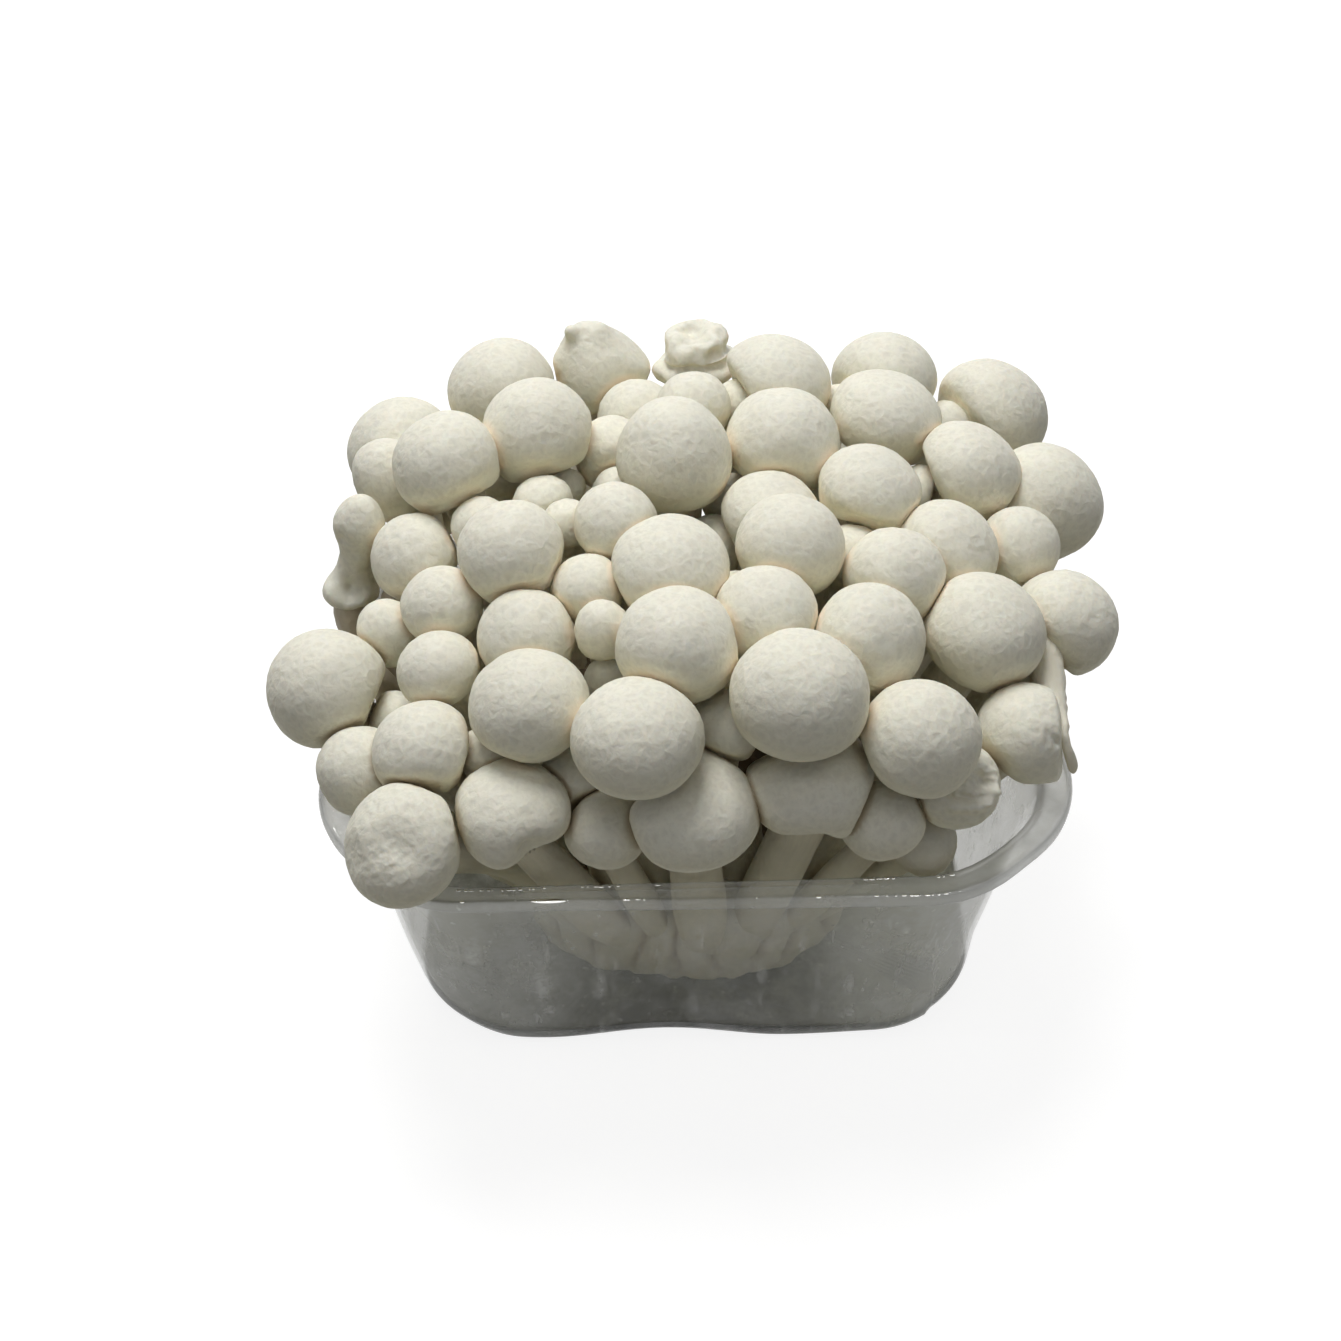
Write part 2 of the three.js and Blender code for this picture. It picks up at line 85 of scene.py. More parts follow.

# How single caps sit beside their solid, and their size beside its size.
SHIFTED = {
    "back_mushroom_1": ((0.0, 0.0, -0.6), 1.01),
    "back_mushroom_2": ((0.6, 0.0, 0.0), 1.0),
    "back_mushroom_3": ((0.6, 0.0, 0.5), 0.96),
    "back_mushroom_4": ((-0.3, 0.0, -0.3), 1.0),
    "back_mushroom_5": ((-0.7, 0.0, 0.0), 1.04),
    "back_mushroom_7": ((-0.7, 0.0, -0.4), 1.06),
    "rear_mushroom_1": ((0.4, 0.0, 0.0), 1.0),
    "rear_mushroom_8": ((-1.0, 0.0, -0.5), 1.1),
    "middle_mushroom_1": ((0.9, 0.0, 0.0), 1.0),
    "middle_mushroom_10": ((0.5, 0.0, 0.5), 1.0),
    "lower_mushroom_1": ((-0.4, 0.0, 1.0), 1.03),
    "edge_mushroom_1": ((-0.5, 0.0, 0.0), 0.945),
}
STEM_SHARES = (0.6, 0.25)           # how much of the shift the upper rings of the stem take

# Marks of single caps: a line of places, how far it reaches to the sides, and its height.
MARKS = {
    "back_mushroom_3": [
        ([(-23.0, 58.3, 100.4)], 1.5, 2.7),
        ([(-26.2, 58.0, 94.0)], 2.6, 1.0),
        ([(-16.8, 59.0, 102.0)], 2.8, 1.7),
    ],
    "back_mushroom_4": [
        ([(-6.0, 58.3, 92.0)], 1.9, 2.0),
        ([(-3.4, 58.2, 93.7), (-0.4, 55.5, 95.1), (3.6, 55.5, 95.0), (7.7, 58.0, 93.7)], 1.2, 1.3),
        ([(-0.8, 57.8, 98.7), (4.0, 57.8, 98.7)], 1.3, -1.0),
    ],
    "rear_mushroom_8": [([(77.0, 22.0, 80.0)], 6.5, 1.6)],
    "middle_mushroom_1": [
        ([(-68.0, 9.3, 71.9), (-65.8, 7.8, 72.4), (-63.5, 8.3, 73.0), (-61.6, 9.7, 73.8)], 0.9, 0.6),
        ([(-65.4, 8.9, 75.7)], 1.8, -1.5),
        ([(-65.9, 10.2, 86.8)], 1.4, -0.7),
        ([(-68.6, 10.5, 73.2)], 2.6, 1.3),
        ([(-62.8, 10.4, 82.0)], 2.2, 0.7),
    ],
    "middle_mushroom_10": [([(76.8, -14.0, 80.0)], 6.5, 1.1)],
    "edge_mushroom_1": [
        ([(-53.1, -62.2, 74.6), (-57.2, -60.4, 74.4)], 0.9, 0.3),
        ([(-53.1, -62.2, 74.6), (-55.4, -60.3, 76.6)], 0.8, 0.3),
        ([(-53.1, -62.2, 74.6), (-50.8, -62.8, 74.0)], 0.8, 0.28),
        ([(-51.2, -60.5, 76.4), (-47.0, -59.4, 77.0)], 0.9, 0.25),
        ([(-50.5, -60.8, 75.4)], 2.2, -0.4),
        ([(-54.5, -58.5, 78.0)], 2.6, -0.4),
    ],
    "edge_mushroom_2": [
        ([(-28.4, -57.6, 71.4), (-26.4, -56.0, 66.5)], 2.3, -2.6),
        ([(-34.5, -57.5, 69.0)], 3.0, 0.8),
    ],
    "edge_mushroom_6": [
        ([(12.0, -53.0, 66.0)], 3.6, -1.5),
        ([(26.0, -52.0, 66.5)], 3.6, 1.0),
        ([(19.0, -54.0, 66.0)], 2.0, -0.9),
    ],
    "edge_mushroom_8": [
        ([(50.2, -45.4, 76.6)], 3.6, 0.8),
        ([(50.2, -46.0, 75.9)], 2.0, -2.2),
        ([(44.2, -47.7, 75.0), (47.0, -48.0, 74.1), (49.2, -48.6, 73.9), (51.3, -47.8, 74.2)], 0.7, -0.9),
        ([(44.9, -49.7, 73.0), (46.9, -49.5, 73.0), (50.5, -49.1, 72.2), (52.6, -46.6, 73.4)], 1.0, 1.0),
        ([(52.8, -46.2, 73.6), (53.2, -44.6, 76.4)], 1.1, 0.6),
        ([(45.1, -49.2, 66.8), (46.3, -50.0, 68.4), (48.2, -49.3, 67.6)], 0.45, -0.8),
    ],
    "front_mushroom_9": [
        ([(53.5, -37.3, 78.5), (56.7, -38.8, 79.2)], 0.6, -0.22),
        ([(64.3, -38.4, 77.8), (62.0, -38.5, 79.7)], 0.55, -0.5),
        ([(64.3, -38.4, 77.8), (61.5, -39.6, 78.6)], 0.5, -0.4),
        ([(64.3, -38.4, 77.4), (62.1, -40.2, 76.8)], 0.55, -0.4),
    ],
}
# Where a cap is crumpled: the middle, how far, the size of a crease and its height.
CREASES = {
    "back_mushroom_4": ((2.0, 58.0, 96.0), 9.0, 3.6, 1.1),
    "edge_mushroom_1": ((-53.1, -61.6, 75.4), 3.8, 1.7, 0.24),
    "edge_mushroom_8": ((49.5, -47.5, 74.5), 5.0, 1.9, 0.55),
    "front_mushroom_9": ((63.0, -39.0, 77.5), 3.4, 1.3, 0.35),
}
SQUEEZED = {"front_mushroom_9": (64.3, 0.35)}   # beyond this x the cap is drawn in to this share
TAIL = [                            # places and radii along the shrivelled mushroom beside it
    ((64.6, -6.0, 81.0), 3.4), ((64.6, -14.0, 77.6), 3.6), ((64.7, -22.0, 75.6), 3.4),
    ((64.9, -28.0, 75.4), 2.6), ((65.3, -32.0, 76.2), 1.7), ((65.7, -34.5, 76.4), 1.2),
    ((66.2, -36.0, 75.0), 0.9), ((66.9, -36.6, 72.4), 1.1), ((67.6, -37.0, 70.2), 1.2),
    ((67.9, -37.0, 68.6), 0.3),
]
# Stems without a visible cap that close the bunch at its sides.
BARE_STEMS = [
    [((-66.6, 10.5, 74.0), 3.0), ((-66.2, 9.5, 66.0), 3.9),
     ((-59.0, 7.0, 50.0), 3.4), ((-28.0, 2.0, 9.0), 2.6)],
    [((-60.5, -3.5, 67.0), 2.0), ((-58.5, -3.0, 58.0), 3.8),
     ((-50.0, -1.0, 42.0), 3.4), ((-27.0, -1.0, 9.0), 2.6)],
    [((-58.2, 11.5, 74.0), 2.2), ((-57.0, 11.0, 68.0), 4.2),
     ((-50.0, 8.0, 50.0), 3.8), ((-27.0, 3.0, 9.0), 2.6)],
    [((-61.5, 3.5, 64.0), 1.6), ((-58.0, 3.5, 55.0), 3.2),
     ((-49.0, 4.0, 40.0), 3.2), ((-26.0, 2.0, 9.0), 2.4)],
]
TUBE_SIDES = 10

# Height and half-widths of the felted foot where the stems have fused.
FOOT_SECTION = [
    (1.3, 23.0, 21.0), (2.2, 28.0, 25.5), (5.0, 31.5, 28.5), (9.0, 33.8, 31.0), (15.0, 34.8, 33.0),
    (21.0, 34.2, 33.5), (26.0, 32.0, 32.0), (29.0, 27.0, 27.0), (30.0, 12.0, 10.0),
]
# The same for the heart of the bunch, a dark body of painted shade where the stems stand too close to see
# between.
HEART_SECTION = [
    (24.0, 22.0, 18.0), (26.0, 29.0, 25.0), (34.0, 30.0, 24.0), (44.0, 32.0, 22.0), (52.0, 30.0, 20.0),
    (55.0, 20.0, 14.0), (56.0, 8.0, 6.0),
]
FOOT_SIDES = 72
FOOT_MIDDLE = -1.2                  # the foot stands this far to one side
FOOT_POWER = 2.6                    # roundness of its outline: 2 is an ellipse, more is squarer
FOOT_FLUTES = 13                    # pairs of grooves round the foot, between the fused stems
FLUTE_DEPTH = 2.0
FOOT_FELT = ((0.35, 2.2), (0.6, 4.5), (0.9, 10))    # depth and size of the felt's relief
BLOCK_CAPS = (55, 63)               # the block's small caps begin between these heights


# --- small helpers ---------------------------------------------------------------------------------

def unit(value):
    """A value held between 0 and 1."""
    return min(max(value, 0.0), 1.0)


def bell(*distances):
    """1 at the middle, falling off smoothly with each distance."""
    return math.exp(-sum(d ** 2 for d in distances))


# --- shader node helpers ---------------------------------------------------------------------------

def fill(tree, node, **settings):
    """Sets a node's properties, and sets or links its inputs."""
    for key, value in settings.items():
        if hasattr(node, key):
            setattr(node, key, value)
            continue
        socket = node.inputs[key.replace("_", " ")]
        if isinstance(value, bpy.types.NodeSocket):
            tree.links.new(value, socket)
        else:
            socket.default_value = value
    return node


def add(tree, kind, **settings):
    """A new node with its properties and inputs set or linked."""
    return fill(tree, tree.nodes.new(kind), **settings)


def coordinates(tree, kind="Object"):
    return tree.nodes.new("ShaderNodeTexCoord").outputs[kind]


def split(tree, vector):
    """The X, Y and Z of a vector."""
    return add(tree, "ShaderNodeSeparateXYZ", Vector=vector).outputs


def attribute(tree, name, output="Fac"):
    return add(tree, "ShaderNodeAttribute", attribute_name=name).outputs[output]


def maths(tree, operation, *values):
    node = add(tree, "ShaderNodeMath", operation=operation)
    for socket, value in zip(node.inputs, values):
        if isinstance(value, bpy.types.NodeSocket):
            tree.links.new(value, socket)
        else:
            socket.default_value = value
    return node.outputs[0]


def times(tree, a, b):
    return maths(tree, "MULTIPLY", a, b)


def blend_colour(tree, share, low, high, kind="MIX"):
    """Mixes two colours, each a socket or a plain colour, by a share."""
    node = add(tree, "ShaderNodeMix", data_type="RGBA", blend_type=kind)
    for key, value in (("Factor", share), ("A", low), ("B", high)):
        wanted = "VALUE" if key == "Factor" else "RGBA"
        socket = next(s for s in node.inputs if s.name == key and s.type == wanted)
        if isinstance(value, bpy.types.NodeSocket):
            tree.links.new(value, socket)
        else:
            socket.default_value = value
    return next(s for s in node.outputs if s.type == "RGBA")


def remap(tree, value, low, high, start=0.0, end=1.0):
    """A smooth step from one value to another while the input goes from low to high."""
    node = add(tree, "ShaderNodeMapRange", interpolation_type="SMOOTHSTEP", Value=value,
               From_Min=low, From_Max=high, To_Min=start, To_Max=end)
    return node.outputs["Result"]


def noise_mask(tree, place, size_mm, detail=3.0, roughness=0.5):
    node = add(
        tree, "ShaderNodeTexNoise", Vector=place, Scale=1 / (size_mm * MM), Detail=detail,
        Roughness=roughness)
    return node.outputs["Fac"]


def new_group(name, inputs, outputs):
    """A shader node group with float inputs and the named outputs."""
    group = bpy.data.node_groups.new(name, "ShaderNodeTree")
    for label, value in inputs:
        socket = group.interface.new_socket(name=label, in_out="INPUT", socket_type="NodeSocketFloat")
        socket.default_value = value
    for label in outputs:
        group.interface.new_socket(name=label, in_out="OUTPUT", socket_type="NodeSocketFloat")
    return group, group.nodes.new("NodeGroupInput").outputs, group.nodes.new("NodeGroupOutput")


def new_material(name):
    material = bpy.data.materials.new(name)
    material.use_nodes = True
    tree = material.node_tree
    return material, tree, tree.nodes["Principled BSDF"]


# --- mushroom flesh ----------------------------------------------------------------------------------

CELL_SIZE, PATCH_SIZE = 2.0, 11.0   # the fine network on the skin, and its duller patches
CELL_BEND = 1.6
PITS_TO_CELLS = 0.8                 # scale of the shallow pits beside that of the cells
FLECK_SIZE, SPECK_SIZE = 1.5, 0.7
GRAIN_HEIGHT, NETWORK_HEIGHT, PIT_HEIGHT = 0.3, 0.32, 0.46
SKIN_RELIEF = 0.24
STRAND_TONE_SIZE = 0.9
LOW_STEM = (62, 40)                 # heights between which a stem turns to the colour of its foot
CROWN = (72, 92)                    # heights between which the painted shade in the gaps turns paler

# Cap, duller patches of the cap, stem, and the stems' lowest part.
FLESH_COLOURS = (
    (0.855, 0.84, 0.735, 1), (0.815, 0.795, 0.695, 1), (0.80, 0.765, 0.65, 1), (0.92, 0.89, 0.77, 1))
# painted shade: the heart of the bunch is coloured as its shade
PAINTED_HEART_SHADE = [(0.2, 0.15, 0.1, 1)] * 4
PALE_FLECK_AND_HIGHLIGHT = (0.93, 0.925, 0.83, 1)
PAINTED_GAP_SHADE = (0.42, 0.33, 0.22, 1)   # painted shade where flesh faces flesh, deep low down and paler in the crown
PALE_PAINTED_GAP_SHADE = (0.95, 0.84, 0.72, 1)
# warm painted shade on downward-facing flesh, and the yellower undersides near the gills
UNDERSIDE_YELLOWING_AND_SHADE = (1.0, 0.97, 0.84, 1)
GILL_COLOURS = (0.72, 0.66, 0.53, 1), (0.82, 0.77, 0.66, 1)
DULLED, STRAND_DARKENED = 0.86, 0.8


def shaded(colour, share):
    return tuple(share * c for c in colour[:3]) + (1,)


def mottle_group():
    """Skin mottling: masks for the network of cells, dull patches, flecks and specks, and the relief."""
    masks = ("Cells", "Patches", "Flecks", "Specks", "Height")
    sizes = (("Cell Size", CELL_SIZE), ("Patch Size", PATCH_SIZE))
    group, given, result = new_group("skin_mottle", sizes, masks)
    place = coordinates(group)
    cell_scale = maths(group, "DIVIDE", 1 / MM, given["Cell Size"])
    patch_scale = maths(group, "DIVIDE", 1 / MM, given["Patch Size"])
    wander = add(group, "ShaderNodeTexNoise", Vector=place, Scale=cell_scale)
    bent = group.nodes.new("ShaderNodeVectorMath")
    bent.operation = "MULTIPLY_ADD"
    group.links.new(wander.outputs["Color"], bent.inputs[0])
    bent.inputs[1].default_value = (CELL_BEND * MM,) * 3
    group.links.new(place, bent.inputs[2])
    bent = bent.outputs[0]
    cells = add(group, "ShaderNodeTexVoronoi", feature="DISTANCE_TO_EDGE", Vector=bent, Scale=cell_scale)
    pits = add(group, "ShaderNodeTexVoronoi", Vector=bent, Scale=times(group, cell_scale, PITS_TO_CELLS))
    patches = add(group, "ShaderNodeTexNoise", Vector=place, Scale=patch_scale, Detail=4.0)
    flecks = noise_mask(group, bent, FLECK_SIZE, 3.0, 0.6)
    grain = noise_mask(group, place, SPECK_SIZE, 2.0)
    network = remap(group, cells.outputs["Distance"], 0.0, 0.42)
    pitted = times(group, remap(group, pits.outputs["Distance"], 0.1, 0.75), PIT_HEIGHT)
    relief = maths(group, "ADD", times(group, network, -NETWORK_HEIGHT), pitted)
    fill(
        group, result, Cells=network, Patches=remap(group, patches.outputs["Fac"], 0.3, 0.7),
        Flecks=remap(group, flecks, 0.5, 0.68), Specks=remap(group, grain, 0.5, 0.66),
        Height=maths(group, "MULTIPLY_ADD", grain, GRAIN_HEIGHT, relief))
    return group


MOTTLE = mottle_group()


def flesh_material(name, cap_colour, patch_colour, stem_colour, foot_colour):
    """Cream mushroom flesh: mottled caps, finely stranded stems, warmer towards the foot, with painted shade
    where it faces other flesh, warm painted shade and yellowing underneath, and a painted highlight at the
    cap's margin.
    """
    material, tree, shader = new_material(name)
    mottle = add(tree, "ShaderNodeGroup", node_tree=MOTTLE).outputs
    height = split(tree, coordinates(tree))["Z"]
    dull = shaded(patch_colour, DULLED)
    skin = blend_colour(tree, mottle["Patches"], patch_colour, cap_colour)
    skin = blend_colour(tree, times(tree, mottle["Cells"], 0.5), skin, dull)
    skin = blend_colour(tree, times(tree, mottle["Flecks"], 0.26), skin, PALE_FLECK_AND_HIGHLIGHT)
    skin = blend_colour(tree, times(tree, mottle["Specks"], 0.3), skin, dull)
    # painted highlight along the cap's margin, in the colour of the pale flecks
    skin = blend_colour(tree, attribute(tree, "margin"), skin, PALE_FLECK_AND_HIGHLIGHT)
    strands = noise_mask(tree, attribute(tree, "strand", "Vector"), STRAND_TONE_SIZE)
    stem = blend_colour(
        tree, remap(tree, strands, 0.35, 0.65, 0.0, 0.35), stem_colour, shaded(stem_colour, STRAND_DARKENED))
    stem = blend_colour(tree, remap(tree, height, *[z * MM for z in LOW_STEM]), stem, foot_colour)
    colour = blend_colour(tree, attribute(tree, "cap"), stem, skin)
    gap_shade_colour = blend_colour(tree, remap(tree, height, *[z * MM for z in CROWN]), PAINTED_GAP_SHADE, PALE_PAINTED_GAP_SHADE)
    # painted shade: the flesh is darkened where it faces a neighbour closely
    colour = blend_colour(tree, times(tree, attribute(tree, "gap"), 0.8), colour, gap_shade_colour)
    # warmer where the flesh faces down: warm painted shade and yellowing near the gills
    facing_up = split(tree, coordinates(tree, "Normal"))["Z"]
    colour = blend_colour(tree, remap(tree, facing_up, 0.7, -0.5), colour, UNDERSIDE_YELLOWING_AND_SHADE, "MULTIPLY")
    bump = add(tree, "ShaderNodeBump", Strength=0.7, Distance=SKIN_RELIEF * MM, Height=mottle["Height"])
    fill(
        tree, shader, Base_Color=colour, Roughness=remap(tree, mottle["Patches"], 0.0, 1.0, 0.52, 0.66),
        Normal=bump.outputs["Normal"], Specular_IOR_Level=0.28, Subsurface_Weight=0.25,
        Subsurface_Radius=(1.0, 0.75, 0.5), Subsurface_Scale=2.4 * MM)
    return material


def gill_material():
    material, tree, shader = new_material("gill_flesh")
    tone = noise_mask(tree, coordinates(tree), 4.0)
    fill(
        tree, shader, Base_Color=blend_colour(tree, tone, *GILL_COLOURS),
        Roughness=remap(tree, tone, 0.3, 0.7, 0.6, 0.75))
    return material


# --- turning a bmesh into a piece --------------------------------------------------------------------

def new_piece(name, bm, material, slot, *replaced):
    """A smooth-shaded piece with its material, that rides on the body and stands for its solids; its slot is
    not used.
    """
    mesh = bpy.data.meshes.new(name)
    bm.to_mesh(mesh)
    bm.free()
    mesh.shade_smooth()
    mesh.materials.append(material)
    piece = bpy.data.objects.new(name, mesh)
    bpy.context.scene.collection.objects.link(piece)
    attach(piece, "root")
    if replaced:
        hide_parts(*replaced)
    return piece


def add_rounding(piece, levels, limit=True):
    rounding = piece.modifiers.new("rounding", "SUBSURF")
    rounding.levels = levels
    rounding.render_levels = levels
    rounding.use_limit_surface = limit


def round_off(piece, levels, limit=True):
    """Rounds the piece; the rounded surface becomes its mesh."""
    add_rounding(piece, levels, limit)
    graph = bpy.context.evaluated_depsgraph_get()
    mesh = bpy.data.meshes.new_from_object(piece.evaluated_get(graph))
    piece.modifiers.clear()
    cage = piece.data
    piece.data = mesh
    mesh.name = piece.name
    bpy.data.meshes.remove(cage)


def attribute_data(mesh, *keys):
    """The data of point attributes, made where the mesh has none: places for "strand", else shares."""
    for key in keys:
        if key not in mesh.attributes:
            mesh.attributes.new(key, "FLOAT_VECTOR" if key == "strand" else "FLOAT", "POINT")
    return [mesh.attributes[key].data for key in keys]


def vertex_normals(mesh):
    return [n.vector.copy() for n in mesh.vertex_normals]


def strand_place(x, y, z):
    """A place squeezed along the stem, so that noise read there runs in long strands."""
    return Vector((x, y, STRAND_SQUEEZE * z))


def solid_corners(name):
    """A solid's corners and faces, with its corners joined up."""
    bm = bmesh.new()
    bm.from_mesh(NODES[name].data)
    bmesh.ops.remove_doubles(bm, verts=bm.verts[:], dist=MERGE_WITHIN * MM)
    return bm


def skin_over(bm, loops):
    """Closes a stack of edge loops with bands between them and a face at each end."""
    for lower, upper in zip(loops, loops[1:]):
        bmesh.ops.bridge_loops(bm, edges=lower + upper)
    bmesh.ops.holes_fill(bm, edges=loops[0] + loops[-1], sides=0)


def edges_of(verts):
    return list(dict.fromkeys(e for v in verts for e in v.link_edges))


# --- mushrooms ---------------------------------------------------------------------------------------

def shift_cap(name, rings):
    """Moves a cap beside its solid; the upper stem follows it in part."""
    if name not in SHIFTED:
        return
    move, size = SHIFTED[name]
    last = CAP_RINGS.get(name, PLAIN_CAP_RINGS)
    cap = [v for ring in rings[:last] for v in ring]
    middle = sum((v.co for v in cap), Vector()) / len(cap)
    for vert in cap:
        vert.co = middle + (vert.co - middle) * size + Vector(move) * MM
    for ring, share in zip(rings[last:], (1.0, *STEM_SHARES)):
        for vert in ring:
            vert.co += Vector(move) * share * MM


def rings_from_crown(bm):
    """The corners of a cage, ring by ring from the crown of its cap to the foot of its stem."""
    poles = sorted(bm.verts, key=lambda v: -len(v.link_edges))[:2]
    rings = [[max(poles, key=lambda v: v.co.z)]]
    seen = set(rings[0])
    while rings[-1]:
        near = []
        for vert in rings[-1]:
            for edge in vert.link_edges:
                other = edge.other_vert(vert)
                if other not in seen:
                    seen.add(other)
                    near.append(other)
        rings.append(near)
    return rings[:-1]


def ringed_cage(name):
    """A solid's cage with its rings counted from the crown, and its triangles joined to quads."""
    bm = solid_corners(name)
    ring_layer = bm.verts.layers.float.new("ring")
    spine_layer = bm.verts.layers.float_vector.new("spine")
    rings = rings_from_crown(bm)
    shift_cap(name, rings)
    for count, ring in enumerate(rings):
        middle = sum((v.co for v in ring), Vector()) / len(ring)
        for vert in ring:
            vert[ring_layer] = count
            vert[spine_layer] = middle
    bmesh.ops.join_triangles(
        bm, faces=bm.faces[:], angle_face_threshold=math.radians(80), angle_shape_threshold=math.radians(120))
    return bm, [[v.co.copy() for v in ring] for ring in rings]


def pass_through_corners(pieces):
    """Moves each cage until its rounded surface runs through the corners of its solid."""
    goals = {p: [v.co.copy() for v in p.data.vertices] for p in pieces}
    for piece in pieces:
        add_rounding(piece, 1)
    for _ in range(CORNER_PASSES):
        graph = bpy.context.evaluated_depsgraph_get()
        for piece in pieces:
            rounded = piece.evaluated_get(graph).data
            moves = [g - rounded.vertices[k].co for k, g in enumerate(goals[piece])]
            for vert, move in zip(piece.data.vertices, moves):
                vert.co += move
            piece.data.update()
    for piece in pieces:
        piece.modifiers.clear()


def surface_tree(objects):
    """The surfaces of the objects as one tree for finding what stands close by."""
    corners, faces = [], []
    for obj in objects:
        first = len(corners)
        corners.extend(v.co.copy() for v in obj.data.vertices)
        faces.extend([first + k for k in p.vertices] for p in obj.data.polygons)
    return BVHTree.FromPolygons(corners, faces)


def closeness(tree, place, normal):
    """1 where the skin touches what it faces, 0 where nothing stands within the gap depth."""
    hit = tree.ray_cast(place + normal * GAP_START * MM, normal, GAP_DEPTH * MM)[3]
    return 0.0 if hit is None else (1 - hit / (GAP_DEPTH * MM)) ** GAP_FALLOFF


def line_distance(place, line):
    """Distance from a place to a broken line, or to a single place."""
    if len(line) == 1:
        return (place - Vector(line[0])).length
    distances = []
    for a, b in zip(line, line[1:]):
        share = geometry.intersect_point_line(place, Vector(a), Vector(b))[1]
        distances.append((place - Vector(a).lerp(Vector(b), unit(share))).length)
    return min(distances)


def press_marks(piece, name):
    """Dents, folds, slits and creases that this one cap has."""
    mesh = piece.data
    middle, reach, size, height = CREASES.get(name, ((0, 0, 0), 1.0, 1.0, 0.0))
    edge, share = SQUEEZED.get(name, (math.inf, 1.0))
    for vert, normal in zip(mesh.vertices, vertex_normals(mesh)):
        here = vert.co / MM
        rise = sum(lift * bell(line_distance(here, line) / spread) for line, spread, lift in MARKS[name])
        crease = CREASE_SHOULDER - abs(noise.noise(here / size) * 2)
        rise += height * bell((here - Vector(middle)).length / reach) * crease
        vert.co += normal * rise * MM
        if here.x > edge:
            vert.co.x = min(vert.co.x, (edge + (vert.co.x / MM - edge) * share) * MM)
    mesh.update()


def mushroom_relief(piece, last, tree):
    """Lumps and dimples on the cap, long strands on the stem, and the attributes that paint them, among them
    painted shade near neighbours and a painted highlight along the margin.
    """
    mesh = piece.data
    rings, spines, caps, margin_highlights, gap_shades, strands = attribute_data(
        mesh, "ring", "spine", "cap", "margin", "gap", "strand")
    shift = Vector((len(piece.name), ord(piece.name[0]), ord(piece.name[-1]))) * RELIEF_STEP
    normals = vertex_normals(mesh)
    for k, vert in enumerate(mesh.vertices):
        ring = rings[k].value
        cap = unit(last - 0.3 - ring)
        across = vert.co - Vector(spines[k].vector)
        along = strand_place(across.x, across.y, vert.co.z)
        caps[k].value = cap
        margin_highlights[k].value = MARGIN_HIGHLIGHT * bell((ring - last + 2.0) / 0.4)
        gap_shades[k].value = closeness(tree, vert.co, normals[k])
        strands[k].vector = along + shift * 10 * MM
        here = vert.co / MM
        lump = LUMP_DEPTH * noise.noise(here / LUMP_SIZE + shift)
        near = noise.voronoi(here / DIMPLE_SIZE + shift)[0]
        dimple = DIMPLE_DEPTH * (min(near[1] - near[0], 0.6) - 0.3)
        strand = STRAND_DEPTH * noise.noise(along / (STRAND_SIZE * MM) + shift)
        relief = cap * (lump - dimple) + (1 - cap) * (strand + STEM_LUMP_SHARE * lump)
        vert.co += normals[k] * MM * relief
    mesh.update()


def blade_edge(ring_places, axis, middle, turn, scale):
    """The point of a ring in one direction from its middle, drawn in by a scale."""
    side = axis.orthogonal().normalized()
    front = axis.cross(side)
    wanted = side * math.cos(turn) + front * math.sin(turn)
    ranked = sorted(ring_places, key=lambda p: -(p - middle).normalized().dot(wanted))[:2]
    weights = [max((p - middle).normalized().dot(wanted), 0.0) ** 8 for p in ranked]
    reach = sum(w * (p - middle).length for w, p in zip(weights, ranked)) / max(sum(weights), 1e-9)
    return middle + wanted * reach * scale


def gills(bm, places, last):
    """Thin blades under a cap, from the neck out to the inside of the margin."""
    margin, neck = places[last - 1], places[last]
    outer_middle = sum(margin, Vector()) / len(margin)
    inner_middle = sum(neck, Vector()) / len(neck)
    axis = (places[0][0] - inner_middle).normalized()
    radius = sum((p - outer_middle).length for p in margin) / len(margin)
    count = int(2 * math.pi * radius / (GILL_SPACING * MM))
    for k in range(count):
        turn = 2 * math.pi * k / count
        start = blade_edge(neck, axis, inner_middle, turn, 0.96)
        end = blade_edge(margin, axis, outer_middle, turn, 0.97)
        top, bottom = [], []
        first = 0.0 if k % 2 else SHORT_GILL_START
        for step in range(GILL_STEPS + 1):
            point = start.lerp(end, first + (1 - first) * step / GILL_STEPS)
            sag = GILL_DROP * MM * math.sin(math.pi * min(0.12 + 0.88 * step / GILL_STEPS, 0.97))
            top.append(bm.verts.new(point + axis * GILL_RISE * MM))
            bottom.append(bm.verts.new(point - axis * sag))
        for corners in zip(top, top[1:], bottom[1:], bottom):
            bm.faces.new(corners)


def make_mushrooms(material):
    gill_bm = bmesh.new()
    pieces = {}
    for name in MUSHROOMS:
        bm, places = ringed_cage(name)
        pieces[name] = new_piece(f"{name}_flesh", bm, material, "mushroom_flesh", name)
        if name not in CAP_RINGS:
            gills(gill_bm, places, PLAIN_CAP_RINGS)
    pass_through_corners(list(pieces.values()))
    for name, piece in pieces.items():
        round_off(piece, CREASED_LEVELS if name in CREASED_FINELY else ROUNDING_LEVELS)
        if name in MARKS:
            press_marks(piece, name)
    tree = surface_tree([*pieces.values(), NODES["growing_block"]])
    for name, piece in pieces.items():
        mushroom_relief(piece, CAP_RINGS.get(name, PLAIN_CAP_RINGS), tree)
    bmesh.ops.solidify(gill_bm, geom=gill_bm.faces[:], thickness=GILL_THICKNESS * MM)
    bmesh.ops.recalc_face_normals(gill_bm, faces=gill_bm.faces[:])
    new_piece("cap_gills", gill_bm, gill_material(), "mushroom_flesh")


